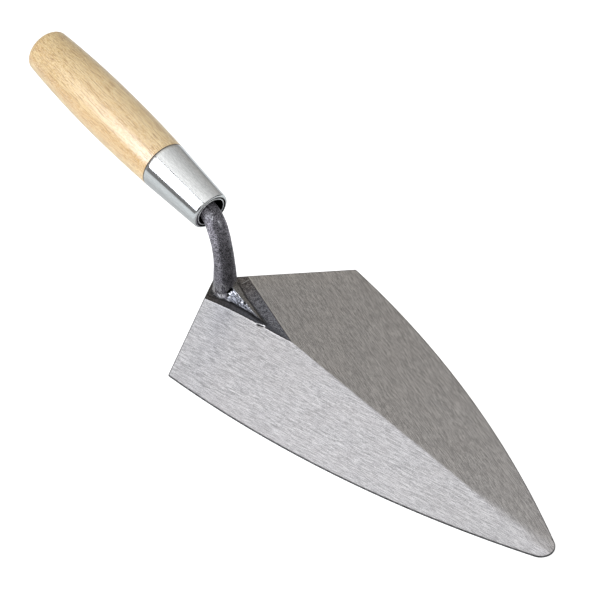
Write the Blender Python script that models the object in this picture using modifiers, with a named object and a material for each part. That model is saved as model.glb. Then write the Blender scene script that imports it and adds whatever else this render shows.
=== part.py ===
"""A brick trowel: a ground steel blade, a forged shank welded to it, a plated ferrule and a turned handle.

Metres, +Z up. The blade lies flat on z = 0 and points along +X, and +Y is to its left. The tool is drawn from
the apex of the blade's heel, and one empty moves it so that the origin is under the middle of the whole tool.
"""

import math

import bmesh
import bpy
from mathutils import Vector

# The whole tool
HEEL_X = -0.0552  # the heel's apex, so that the tool's two ends lie equally far from the origin
GAP = 0.0003  # between pieces that touch

# Blade
BLADE_LENGTH = 0.254  # heel apex to tip
BLADE_WIDTH = 0.1245  # across the heel corners
HEEL_SWEEP = 0.0410  # how far the heel corners lie ahead of its apex
TOE_IN = math.radians(4.7)  # a long edge's angle to the axis where it leaves the corner
TIP_RADIUS = 0.0073
EDGE_THICKNESS = 0.0009
RIDGE_THICKNESS = 0.0026  # at the heel, and it falls to the edge's at the tip

# Shank: its foot on the blade, its neck, and the tang inside the handle
FOOT_FRONT = 0.0445  # the foot's front point, from the heel apex
FOOT_WING_X = 0.0082
FOOT_WING_Y = 0.0098
FOOT_REAR = 0.0017
FOOT_FLARE = 0.019  # the foot's width falls by e over this length
FOOT_RINGS = (  # (rise from the blade, share of the foot's plan in a blend with the neck's circle)
    (0.0, 1.0),
    (0.0005, 0.82),
    (0.0013, 0.56),
    (0.0026, 0.34),
    (0.0038, 0.13),
    (0.0056, 0.04),
)
NECK_X = 0.0097
NECK_BASE_Z = 0.0120
NECK_RADII = (  # (height, radius)
    (0.0, 0.0064),
    (0.0120, 0.0060),
    (0.0200, 0.0055),
    (0.0300, 0.0053),
    (0.0400, 0.0055),
    (0.0500, 0.0050),
)
BEND_START = Vector((0.0036, 0.0, 0.0409))
BEND_SLOPE = math.radians(62.7)  # the neck's angle to the blade where the bend starts
BEND_END_DEPTH = 0.008  # inside the ferrule
TANG_END_DEPTH = 0.078
TANG_HALF = 0.0019  # half the tang's side at its end
SHANK_SIDES = 32

# Handle and ferrule, turned about one axis that rises towards the butt
HANDLE_LIFT = math.radians(9.4)
MOUTH = Vector((-0.0005, 0.0, 0.0474))  # the centre of the ferrule's mouth
FERRULE_LENGTH = 0.0392
FERRULE_MOUTH_RADIUS = 0.0108
FERRULE_HOLE_RADIUS = 0.0078
FERRULE_LIP = 0.0015
FERRULE_WALL = 0.0011
JOINT_RADIUS = 0.0135  # where the ferrule and the wood meet flush
HANDLE_LENGTH = 0.1446  # ferrule mouth to butt
THIRD_RADIUS = 0.0147  # of the barrel, a third of the way along it
TWO_THIRDS_RADIUS = 0.0145
BUTT_RADIUS = 0.0127
BUTT_DOME = 0.0060
DOME_POWER = 2.1  # of the oval that the dome follows: 2 is an ellipse, and more is flatter on top
TENON_START = 0.010
TURNED_STEPS = 48


def clear_scene():
    for obj in list(bpy.data.objects):
        bpy.data.objects.remove(obj, do_unlink=True)


def material(name, colour, roughness, metallic):
    made = bpy.data.materials.new(name)
    made.use_nodes = True
    shader = made.node_tree.nodes["Principled BSDF"]
    shader.inputs["Base Color"].default_value = (*colour, 1.0)
    shader.inputs["Roughness"].default_value = roughness
    shader.inputs["Metallic"].default_value = metallic
    return made


def empty(name, collection, location, parent=None):
    made = bpy.data.objects.new(name, None)
    made.location = location
    made.parent = parent
    collection.objects.link(made)
    return made


def add_piece(name, mesh, finish, collection, parent):
    """Puts a mesh in the collection as one piece, round where it is round and sharp at its edges."""
    mesh.materials.append(finish)
    mesh.shade_smooth()
    mesh.set_sharp_from_angle(angle=math.radians(30))
    piece = bpy.data.objects.new(name, mesh)
    piece.parent = parent
    collection.objects.link(piece)
    return piece


def between(table, at):
    """The value at one place in a table of (place, value), by straight lines between its rows."""
    for (low, first), (high, second) in zip(table, table[1:]):
        if at <= high:
            return first + (second - first) * (at - low) / (high - low)
    return table[-1][1]


# The blade


def edge_arc():
    """(centre, radius) of a long edge's arc, from the corner at its toe-in to the tip's round."""
    reach = BLADE_LENGTH - TIP_RADIUS - HEEL_SWEEP
    half = BLADE_WIDTH / 2
    spare = half * math.cos(TOE_IN) - reach * math.sin(TOE_IN) - TIP_RADIUS
    radius = (reach**2 + half**2 - TIP_RADIUS**2) / (2 * spare)
    return (HEEL_SWEEP - radius * math.sin(TOE_IN), half - radius * math.cos(TOE_IN)), radius


def blade_outline():
    """The left half of the outline, from the heel apex round the corner and the tip: a line and two arcs."""
    (centre_x, centre_y), radius = edge_arc()
    tip_x = BLADE_LENGTH - TIP_RADIUS
    meets = math.asin((tip_x - centre_x) / (radius - TIP_RADIUS))
    heel_steps, edge_steps, tip_steps = 6, 30, 8
    points = []
    for step in range(heel_steps):
        part = step / heel_steps
        points.append((HEEL_SWEEP * part, BLADE_WIDTH / 2 * part))
    for step in range(edge_steps):
        turn = TOE_IN + (meets - TOE_IN) * step / edge_steps
        points.append((centre_x + radius * math.sin(turn), centre_y + radius * math.cos(turn)))
    for step in range(tip_steps):
        turn = meets + (math.pi / 2 - meets) * step / tip_steps
        points.append((tip_x + TIP_RADIUS * math.sin(turn), TIP_RADIUS * math.cos(turn)))
    points.append((BLADE_LENGTH, 0.0))
    return points


def blade_top(x, y):
    """The height of the ground top: straight down from the ridge to the long edge on each side."""
    (centre_x, centre_y), radius = edge_arc()
    ridge = EDGE_THICKNESS + (RIDGE_THICKNESS - EDGE_THICKNESS) * (1 - x / BLADE_LENGTH)
    half = centre_y + math.sqrt(radius**2 - (x - centre_x) ** 2)
    if x > BLADE_LENGTH - TIP_RADIUS:
        half = max(math.sqrt(max(TIP_RADIUS**2 - (x - BLADE_LENGTH + TIP_RADIUS) ** 2, 0.0)), abs(y), 1e-6)
    return ridge - (ridge - EDGE_THICKNESS) * abs(y) / half


def make_blade(collection, parent):
    """Half a blade, open at y = 0, and a Mirror."""
    shape = bmesh.new()
    outline = blade_outline()
    edge_low = [shape.verts.new((x, y, 0)) for x, y in outline]
    edge_high = [shape.verts.new((x, y, blade_top(x, y))) for x, y in outline]
    inner = range(1, len(outline) - 1)
    middle_low = {i: shape.verts.new((outline[i][0], 0, 0)) for i in inner}
    middle_high = {i: shape.verts.new((outline[i][0], 0, blade_top(outline[i][0], 0))) for i in inner}
    for edge, middle in ((edge_low, middle_low), (edge_high, middle_high)):
        for i in range(len(outline) - 1):
            corners = [edge[i], edge[i + 1], middle.get(i + 1), middle.get(i)]
            shape.faces.new([corner for corner in corners if corner])
    for i in range(len(outline) - 1):
        shape.faces.new((edge_low[i], edge_low[i + 1], edge_high[i + 1], edge_high[i]))
    bmesh.ops.recalc_face_normals(shape, faces=shape.faces)
    # The half is open, so its faces are turned by its underside, which faces down.
    shape.faces.ensure_lookup_table()
    if shape.faces[0].normal.z > 0:
        bmesh.ops.reverse_faces(shape, faces=shape.faces)
    mesh = bpy.data.meshes.new("blade")
    shape.to_mesh(mesh)
    shape.free()
    steel = material("ground_steel", (0.45, 0.44, 0.43), 0.38, 1.0)
    blade = add_piece("blade", mesh, steel, collection, parent)
    mirror = blade.modifiers.new("both_sides", "MIRROR")
    mirror.use_axis = (False, True, False)
    mirror.merge_threshold = 0.00001
    return blade


# The shank


def handle_axis():
    """The direction from the ferrule's mouth to the butt."""
    return Vector((-math.cos(HANDLE_LIFT), 0, math.sin(HANDLE_LIFT)))


def foot_outline(turn):
    """The foot's plan: a point ahead, sides that flare back to two wings, and a rear edge along the heel."""
    side = 1 if turn <= math.pi else -1
    angle = turn if turn <= math.pi else 2 * math.pi - turn
    wing_angle = math.radians(100)
    if angle > wing_angle:
        part = (angle - wing_angle) / (math.pi - wing_angle)
        return FOOT_WING_X + (FOOT_REAR - FOOT_WING_X) * part, side * FOOT_WING_Y * (1 - part)
    part = 1 - angle / wing_angle
    x = FOOT_WING_X + (FOOT_FRONT - FOOT_WING_X) * part
    width = FOOT_WING_Y * math.exp((FOOT_WING_X - x) / FOOT_FLARE) * math.sqrt(1 - part**6)
    return x, side * width


def foot_rings():
    """Level rings up the foot, from its plan on the blade to the neck's circle."""
    rings = []
    for rise, share in FOOT_RINGS:
        ring = []
        for step in range(SHANK_SIDES):
            turn = 2 * math.pi * step / SHANK_SIDES
            plan_x, plan_y = foot_outline(turn)
            radius = between(NECK_RADII, rise)
            x = share * plan_x + (1 - share) * (NECK_X + radius * math.cos(turn))
            y = share * plan_y + (1 - share) * radius * math.sin(turn)
            ring.append(Vector((x, y, blade_top(x, y) + GAP + rise)))
        rings.append(ring)
    return rings


def section(centre, along, half, squareness):
    """A ring across the shank: round at a squareness of 2, and nearly square at a high one."""
    left = Vector((0, 1, 0))
    front = left.cross(along)
    ring = []
    for step in range(SHANK_SIDES):
        turn = 2 * math.pi * step / SHANK_SIDES
        across, up = math.cos(turn), math.sin(turn)
        size = half / (abs(across) ** squareness + abs(up) ** squareness) ** (1 / squareness)
        ring.append(centre + front * (size * across) + left * (size * up))
    return ring


def bezier(points, part):
    """(place, direction) on a cubic Bezier curve."""
    a, b, c, d = points
    rest = 1 - part
    place = a * rest**3 + b * (3 * rest**2 * part) + c * (3 * rest * part**2) + d * part**3
    direction = (b - a) * rest**2 + (c - b) * (2 * rest * part) + (d - c) * part**2
    return place, direction.normalized()


def neck_rings():
    """Rings up the neck and round its bend, on two curves that meet in line where the bend starts."""
    up = Vector((0, 0, 1))
    slope = Vector((-math.cos(BEND_SLOPE), 0, math.sin(BEND_SLOPE)))
    base = Vector((NECK_X, 0, NECK_BASE_Z))
    end = MOUTH + handle_axis() * BEND_END_DEPTH
    rise = (base, base + up * 0.010, BEND_START - slope * 0.010, BEND_START)
    bend = (BEND_START, BEND_START + slope * 0.0045, end - handle_axis() * 0.0060, end)
    rings = []
    for curve, steps, skip in ((rise, 8, 0), (bend, 10, 1)):
        for step in range(skip, steps + 1):
            place, direction = bezier(curve, step / steps)
            rings.append(section(place, direction, between(NECK_RADII, place.z), 2.0))
    return rings


def tang_shape(depth):
    """(half side, squareness) of the tang at a depth inside the ferrule and handle."""
    part = (depth - BEND_END_DEPTH) / (TANG_END_DEPTH - BEND_END_DEPTH)
    thick = NECK_RADII[-1][1]
    return thick + (TANG_HALF - thick) * part, 2.0 + 6.0 * part


def tang_reach(depth):
    """How far the tang's corners are from its axis."""
    half, squareness = tang_shape(depth)
    return half * math.sqrt(2) / 2 ** (1 / squareness)


def tang_rings():
    steps = 8
    rings = []
    for step in range(1, steps + 1):
        depth = BEND_END_DEPTH + (TANG_END_DEPTH - BEND_END_DEPTH) * step / steps
        rings.append(section(MOUTH + handle_axis() * depth, handle_axis(), *tang_shape(depth)))
    return rings


def make_shank(collection, parent):
    """One loft through the foot's, the neck's and the tang's rings."""
    shape = bmesh.new()
    rings = foot_rings() + neck_rings() + tang_rings()
    rings = [[shape.verts.new(point) for point in ring] for ring in rings]
    for low, high in zip(rings, rings[1:]):
        for i in range(SHANK_SIDES):
            after = (i + 1) % SHANK_SIDES
            shape.faces.new((low[i], low[after], high[after], high[i]))
    shape.faces.new(rings[0])
    shape.faces.new(rings[-1])
    bmesh.ops.recalc_face_normals(shape, faces=shape.faces)
    mesh = bpy.data.meshes.new("shank")
    shape.to_mesh(mesh)
    shape.free()
    scale = material("forged_steel", (0.06, 0.055, 0.065), 0.5, 0.8)
    return add_piece("shank", mesh, scale, collection, parent)


# The ferrule and the handle, turned about their own Z, which runs from the mouth to the butt


def make_turned(name, profile, closed, finish, collection, parent):
    """A profile of (radius, depth), from the butt's end down the outer side, turned by a Screw."""
    mesh = bpy.data.meshes.new(name)
    links = [(i, i + 1) for i in range(len(profile) - 1)]
    if closed:
        links.append((len(profile) - 1, 0))
    mesh.from_pydata([(radius, 0, depth) for radius, depth in profile], links, [])
    piece = add_piece(name, mesh, finish, collection, parent)
    screw = piece.modifiers.new("turned", "SCREW")
    screw.steps = screw.render_steps = TURNED_STEPS
    screw.use_merge_vertices = True
    screw.merge_threshold = 0.00001
    screw.use_smooth_shade = True
    return piece


def ferrule_radius(depth):
    return FERRULE_MOUTH_RADIUS + (JOINT_RADIUS - FERRULE_MOUTH_RADIUS) * depth / FERRULE_LENGTH


def make_ferrule(collection, parent):
    """A cone that curls in at its mouth to a round lip."""
    profile = [(JOINT_RADIUS, FERRULE_LENGTH)]
    lip_depth = FERRULE_LIP
    lip_radius = ferrule_radius(lip_depth) - FERRULE_LIP
    steps = 5
    for step in range(steps + 1):
        turn = math.pi / 2 * step / steps
        radius = lip_radius + FERRULE_LIP * math.cos(turn)
        profile.append((radius, lip_depth - FERRULE_LIP * math.sin(turn)))
    bead = FERRULE_WALL / 2
    for step in range(steps + 1):
        turn = math.pi * (0.5 + step / steps)
        radius = FERRULE_HOLE_RADIUS + bead + bead * math.cos(turn)
        profile.append((radius, bead - bead * math.sin(turn)))
    inside = FERRULE_WALL + 0.0012
    profile.append((ferrule_radius(inside) - FERRULE_WALL, inside))
    profile.append((JOINT_RADIUS - FERRULE_WALL, FERRULE_LENGTH))
    plate = material("plated_steel", (0.62, 0.63, 0.63), 0.22, 1.0)
    return make_turned("ferrule", profile, True, plate, collection, parent)


def barrel_radius(part):
    """The barrel's radius: a cubic through four sizes, from the joint, at 0, to the dome's start, at 1."""
    sizes = (JOINT_RADIUS, THIRD_RADIUS, TWO_THIRDS_RADIUS, BUTT_RADIUS)
    radius = 0.0
    for i, size in enumerate(sizes):
        weight = 1.0
        for j in range(4):
            if j != i:
                weight *= (part - j / 3) / (i / 3 - j / 3)
        radius += size * weight
    return radius


def make_handle(collection, parent):
    """The dome, the barrel, the tenon that fills the ferrule, and the bore for the tang."""
    barrel_start = FERRULE_LENGTH + GAP
    barrel_end = HANDLE_LENGTH - BUTT_DOME
    profile = []
    dome_steps, barrel_steps = 7, 16
    for step in range(dome_steps):
        turn = math.pi / 2 * step / dome_steps
        radius = BUTT_RADIUS * math.sin(turn) ** (2 / DOME_POWER)
        profile.append((radius, barrel_end + BUTT_DOME * math.cos(turn) ** (2 / DOME_POWER)))
    for step in range(barrel_steps + 1):
        part = 1 - step / barrel_steps
        profile.append((barrel_radius(part), barrel_start + (barrel_end - barrel_start) * part))
    for depth in (barrel_start, TENON_START):
        profile.append((ferrule_radius(depth) - FERRULE_WALL - GAP, depth))
    bore_steps = 8
    bore_end = TANG_END_DEPTH + GAP
    for step in range(bore_steps + 1):
        depth = TENON_START + (TANG_END_DEPTH - TENON_START) * step / bore_steps
        profile.append((tang_reach(depth) + GAP, depth if step < bore_steps else bore_end))
    profile.append((0.0, bore_end))
    wood = material("lacquered_wood", (0.72, 0.50, 0.27), 0.35, 0.0)
    return make_turned("handle", profile, False, wood, collection, parent)


def main():
    clear_scene()
    collection = bpy.data.collections.new("brick_trowel")
    bpy.context.scene.collection.children.link(collection)
    heel = empty("heel_apex", collection, (HEEL_X, 0, 0))
    axis = empty("handle_axis", collection, MOUTH, heel)
    axis.rotation_euler = (0, HANDLE_LIFT - math.pi / 2, 0)
    make_blade(collection, heel)
    make_shank(collection, heel)
    make_ferrule(collection, axis)
    make_handle(collection, axis)


main()
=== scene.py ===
"""The look of a brick trowel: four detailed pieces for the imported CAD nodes, in a plain pale studio.

Metres, in the row frame. Shapes are drawn from the apex of the blade's heel, as in the CAD source, whose
sizes are repeated here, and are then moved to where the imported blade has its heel.
"""

import math

import bmesh
import bpy
from mathutils import Matrix, Quaternion, Vector, noise

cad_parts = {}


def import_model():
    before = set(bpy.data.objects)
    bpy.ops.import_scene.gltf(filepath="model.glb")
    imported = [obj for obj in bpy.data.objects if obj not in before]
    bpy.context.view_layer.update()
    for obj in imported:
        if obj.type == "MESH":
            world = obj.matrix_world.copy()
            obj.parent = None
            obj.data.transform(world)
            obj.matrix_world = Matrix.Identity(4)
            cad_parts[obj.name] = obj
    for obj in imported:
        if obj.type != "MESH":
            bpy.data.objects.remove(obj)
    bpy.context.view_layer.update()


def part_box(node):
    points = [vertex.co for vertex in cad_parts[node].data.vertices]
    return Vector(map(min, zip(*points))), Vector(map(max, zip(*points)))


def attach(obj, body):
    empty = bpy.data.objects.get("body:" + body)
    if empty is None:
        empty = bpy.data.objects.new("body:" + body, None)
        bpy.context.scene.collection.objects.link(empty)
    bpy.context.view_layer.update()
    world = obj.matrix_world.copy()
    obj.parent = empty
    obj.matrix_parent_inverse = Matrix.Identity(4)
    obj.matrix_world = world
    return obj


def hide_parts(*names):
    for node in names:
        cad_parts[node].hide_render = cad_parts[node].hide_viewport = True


# Blade, as in the CAD source
BLADE_LENGTH = 0.254
BLADE_WIDTH = 0.1245
HEEL_SWEEP = 0.0410
TOE_IN = math.radians(4.7)
TIP_RADIUS = 0.0073
EDGE_THICKNESS = 0.0009
RIDGE_THICKNESS = 0.0026

# Blade, details that only the look has
RIM = 0.00012  # bevel round the rim
CORNER_ROUND = 0.0007
PLATEAU = 0.00217  # top of the unground V round the foot
SCALE_BASE = 0.0100  # where the V's sides meet the heel, from the apex
SCALE_TIP = 0.0634
SCALE_LEFT = 0.0127
SCALE_RIGHT = 0.0147
SCALE_HOLLOW = 0.14  # how much the left side bends in
GROOVE = 0.00010
PLATEAU_COLUMNS = 61
STROKES_LEFT = math.radians(11.5)  # the grinding lines' angle to the blade's axis, on each facet
STROKES_RIGHT = math.radians(-15.0)
STROKES = {"fine": (0.00019, 0.0038), "broad": (0.00034, 0.0080)}  # width and length of the lines
GROOVE_WIDTH = 0.00024
BURR_AWAY = 0.00046  # the burr's line, from the V's side
BURR_WIDTH = 0.00023
BURR_HEIGHT = 0.00002
SLIVER = (0.0402, 0.0412, 0.0454, 0.0466)  # where the left burr is torn up: start, full, fading, end
SLIT = ((0.0417, -0.0053), (0.0452, -0.0037))  # a fold in the steel beside the sliver, painted dark as shade
SLIT_WIDTH = 0.00040
SLIT_DEPTH = 0.0002
LEDGE_X = 0.01325  # a low step across the V's right wing, with a lip behind it that is only a painted highlight
LEDGE_HIGHLIGHT_X = 0.0125
LEDGE_Y = (0.0086, 0.0092)  # it fades in from one to the other
LEDGE_DROP = 0.00016
BESIDE_V = (0.00012, 0.00024, 0.00036, 0.00048, 0.0006, 0.00072, 0.00084, 0.00098, 0.00116, 0.0014, 0.0018)
BESIDE_RIM = (0.0, 0.0002, 0.00032, 0.00044)  # the first and the last places of a facet's columns

# Foot of the shank: (x, left, crest, rise of the crest, right), from its rear edge to its point
FOOT = (
    (0.0022, -0.0028, 0.0000, 0.0008, 0.0028),
    (0.0050, -0.0068, 0.0000, 0.0030, 0.0066),
    (0.0080, -0.0102, 0.0000, 0.0043, 0.0094),
    (0.0115, -0.0093, 0.0000, 0.0050, 0.0080),
    (0.0150, -0.0075, -0.0002, 0.0052, 0.0066),
    (0.0185, -0.0061, -0.0004, 0.0046, 0.0053),
    (0.0225, -0.0050, -0.0005, 0.0035, 0.0040),
    (0.0270, -0.0042, -0.0007, 0.0028, 0.0029),
    (0.0310, -0.0035, -0.0009, 0.0017, 0.0021),
    (0.0360, -0.0031, -0.0013, 0.0009, 0.0011),
    (0.0410, -0.0028, -0.0016, 0.0004, 0.0001),
    (0.0455, -0.0022, -0.0018, 0.0001, -0.0014),
)
FOOT_STEPS = 90
FLANK_STEPS = 14
FOOT_SINK = 0.00005  # into the blade, where the weld holds it

# Neck, bend and tang, as in the CAD source
NECK_X = 0.0097
NECK_START_Z = 0.0028
NECK_BASE_Z = 0.0120
NECK_RADII = (
    (0.0, 0.0068),
    (0.0060, 0.0063),
    (0.0120, 0.0060),
    (0.0200, 0.0055),
    (0.0300, 0.0053),
    (0.0400, 0.0055),
    (0.0500, 0.0050),
)
BEND_START = Vector((0.0036, 0.0, 0.0409))
BEND_SLOPE = math.radians(62.7)
BEND_END_DEPTH = 0.008
TANG_END_DEPTH = 0.078
TANG_HALF = 0.0019
NECK_SIDES = 48
SKIN = 0.00025  # voxel size of the forging's skin

# Ferrule and handle, as in the CAD source
HANDLE_LIFT = math.radians(9.4)
MOUTH = Vector((-0.0005, 0.0, 0.0474))
FERRULE_LENGTH = 0.0392
FERRULE_MOUTH_RADIUS = 0.0108
FERRULE_HOLE_RADIUS = 0.0078
FERRULE_LIP = 0.0015
FERRULE_WALL = 0.0011
JOINT_RADIUS = 0.0135
HANDLE_LENGTH = 0.1446
THIRD_RADIUS = 0.0147
TWO_THIRDS_RADIUS = 0.0145
BUTT_RADIUS = 0.0127
BUTT_DOME = 0.0060
DOME_POWER = 2.1
TENON_START = 0.010
GAP = 0.0003
TURNED_SIDES = 160

# Depth of each surface's texture
GRIND_DEPTH = 0.000016
RIM_DEPTH = 0.00004
PLATE_DEPTH = 0.00006
FORGE_DEPTH = 0.00009
SATIN_DEPTH = 0.000004
GRAIN_DEPTH = 0.00004

# Floor and key light
FLOOR_Z = -0.00004
FLOOR_HALF = 15.0
FLOOR_GLOW = 0.62
KEY_AIM = Vector((-0.05, 0.0, 0.03))
KEY_DIRECTION = Vector((-0.28, -0.82, 0.584))
KEY_DISTANCE = 1.5
KEY_SIZE = (0.55, 1.267)
KEY_RADIANCE = 6.0
KEY_COLOUR = (0.898, 0.917, 1.0)

# Surroundings: edges as shares of a direction's X, Y and Z, from nothing to full, and brightness
TABLE_Z = (-0.14, -0.23)
CEILING_X, CEILING_Y, CEILING_Z = (-0.52, -0.36), (-0.66, -0.58), (-0.05, 0.20)
CARD_X, CARD_Y = (-0.24, -0.32), (-0.80, -0.87)
DOORWAY_X, DOORWAY_Z = (0.30, 0.50), (0.30, 0.12)
TABLE_LEVEL = 0.80
BELOW_LEVEL = 0.62
DIM_LEVELS = (0.33, 0.34)
CARD_LEVEL = 0.20
DOORWAY_LEVEL = 0.03
SEAM_LIFT = math.radians(60.6)  # a dark seam in the ceiling
SEAM_WIDTHS = (math.radians(2.1), math.radians(3.4))

# Camera
CAMERA_AIM = Vector((-0.02005, 0.02578, 0.0))
CAMERA_AZIMUTH = math.radians(50.2)
CAMERA_ELEVATION = math.radians(41.88)
CAMERA_DISTANCE = 1.5544
CAMERA_ROLL = math.radians(-0.18)
CAMERA_LENS = 183.05  # on a 36 mm sensor


# Small helpers


def smooth_step(low, high, value):
    part = min(1.0, max(0.0, (value - low) / (high - low)))
    return part * part * (3 - 2 * part)


def bump(value, width):
    """1 at value 0, falling to nothing a few widths away."""
    return math.exp(-((value / width) ** 2))


def between(table, at):
    """The value at one place in a table of (place, value), on straight lines."""
    for (low, first), (high, second) in zip(table, table[1:]):
        if at <= high:
            return first + (second - first) * (at - low) / (high - low)
    return table[-1][1]


def smooth_row(table, at):
    """The values at one place in a table of (place, value, ...), on a smooth curve."""
    last = len(table) - 2
    index = next((i for i in range(last + 1) if at <= table[i + 1][0]), last)
    rows = [table[max(0, min(last + 1, index + i))] for i in (-1, 0, 1, 2)]
    span = rows[2][0] - rows[1][0]
    part = (at - rows[1][0]) / span
    values = []
    for a, b, c, d in zip(*[row[1:] for row in rows]):
        slope_b = (c - a) / max(rows[2][0] - rows[0][0], 1e-9) * span
        slope_c = (d - b) / max(rows[3][0] - rows[1][0], 1e-9) * span
        square, cube = part**2, part**3
        values.append(
            b * (2 * cube - 3 * square + 1)
            + slope_b * (cube - 2 * square + part)
            + c * (3 * square - 2 * cube)
            + slope_c * (cube - square)
        )
    return values


def rough(point, size):
    """Noise from -1 to 1 at a point, with bumps of about that size."""
    return noise.noise(point / size)


def placed(name, data):
    """A new object in the scene."""
    made = bpy.data.objects.new(name, data)
    bpy.context.scene.collection.objects.link(made)
    return made


def finish_mesh(name, shape, materials, angle=30):
    """A mesh object from a bmesh, smooth where it is smooth and sharp at its edges."""
    mesh = bpy.data.meshes.new(name)
    shape.to_mesh(mesh)
    shape.free()
    for material in materials:
        mesh.materials.append(material)
    mesh.shade_smooth()
    mesh.set_sharp_from_angle(angle=math.radians(angle))
    return placed(name, mesh)


def set_point_value(mesh, name, values):
    attribute = mesh.attributes.new(name, "FLOAT", "POINT")
    attribute.data.foreach_set("value", values)


def fill(tree, socket, value):
    """Links a socket to another, or sets it."""
    if isinstance(value, bpy.types.NodeSocket):
        tree.links.new(value, socket)
    else:
        socket.default_value = value


def node(tree, kind, inputs=None, **settings):
    """Adds a shader node, with its settings, and its inputs set or linked."""
    made = tree.nodes.new("ShaderNode" + kind)
    for name, value in settings.items():
        setattr(made, name, value)
    for name, value in (inputs or {}).items():
        fill(tree, made.inputs[name], value)
    return made


def maths(tree, operation, first, second=0.0, third=0.0):
    made = node(tree, "Math", {0: first, 1: second, 2: third}, operation=operation)
    return made.outputs[0]


def product(tree, first, second):
    return maths(tree, "MULTIPLY", first, second)


def weighed(tree, first, share, second, rest):
    """first times share, plus second times rest."""
    return maths(tree, "MULTIPLY_ADD", first, share, product(tree, second, rest))


def axes(tree, vector):
    """(x, y, z) of a vector."""
    return node(tree, "SeparateXYZ", {0: vector}).outputs


def attribute(tree, name):
    """A value that the mesh carries at its points."""
    return node(tree, "Attribute", attribute_name=name).outputs["Fac"]


def ramp(tree, value, low, high, start=0.0, end=1.0):
    """start below low, end above high, and smooth between them."""
    inputs = {"Value": value, "From Min": low, "From Max": high, "To Min": start, "To Max": end}
    return node(tree, "MapRange", inputs, interpolation_type="SMOOTHSTEP").outputs[0]


def noise_value(tree, vector, scale=1.0, detail=2.0, roughness=0.5):
    inputs = {"Vector": vector, "Scale": scale, "Detail": detail, "Roughness": roughness}
    return node(tree, "TexNoise", inputs).outputs[0]


def scaled(tree, vector, scale, offset=(0, 0, 0)):
    """The vector times scale, plus offset."""
    inputs = {0: vector, 1: scale, 2: offset}
    return node(tree, "VectorMath", inputs, operation="MULTIPLY_ADD").outputs[0]


def mixed(tree, factor, first, second, blend="MIX", kind="Color"):
    """A colour or a vector between first and second."""
    made = node(tree, "Mix", data_type="RGBA" if kind == "Color" else "VECTOR", blend_type=blend)
    for name, value in (("Factor_Float", factor), (f"A_{kind}", first), (f"B_{kind}", second)):
        fill(tree, next(s for s in made.inputs if s.identifier == name), value)
    return next(s for s in made.outputs if s.identifier == f"Result_{kind}")


def mixed_value(tree, factor, first, second):
    """A number between first and second."""
    return node(tree, "Mix", {0: factor, 2: first, 3: second}, data_type="FLOAT").outputs[0]


def grey(level, red=1.0, green=1.0, blue=1.0):
    return (level * red, level * green, level * blue, 1.0)


def new_material(name):
    """(material, node tree)"""
    made = bpy.data.materials.new(name)
    made.use_nodes = True
    return made, made.node_tree


def finished(made, **inputs):
    """The material, with its shader's inputs set or linked. They are named with _ for a space."""
    tree = made.node_tree
    for name, value in inputs.items():
        fill(tree, tree.nodes["Principled BSDF"].inputs[name.replace("_", " ")], value)
    return made


def object_place(tree):
    return node(tree, "TexCoord").outputs["Object"]


def turned_place(tree, heel_x):
    """Places from the middle of the ferrule's mouth, with Z towards the butt."""
    mouth = MOUTH + Vector((heel_x, 0, 0))
    moved = node(tree, "VectorMath", {0: object_place(tree), 1: mouth}, operation="SUBTRACT").outputs[0]
    inputs = {"Vector": moved, "Angle": math.pi / 2 - HANDLE_LIFT}
    return node(tree, "VectorRotate", inputs, rotation_type="Y_AXIS").outputs[0]


def raised(tree, height, distance, strength=1.0):
    """A normal for a surface that rises by distance where height is 1."""
    inputs = {"Height": height, "Distance": distance, "Strength": strength}
    return node(tree, "Bump", inputs).outputs[0]


# Materials


def stroke_noise(tree, place, angle, width, length, offset):
    """Noise drawn out into strokes at an angle to the X axis."""
    inputs = {"Vector": place, "Angle": -angle}
    turned = node(tree, "VectorRotate", inputs, rotation_type="Z_AXIS").outputs[0]
    drawn = scaled(tree, turned, (1 / length, 1 / width, 1 / width), (offset, offset, offset))
    return noise_value(tree, drawn)


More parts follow.
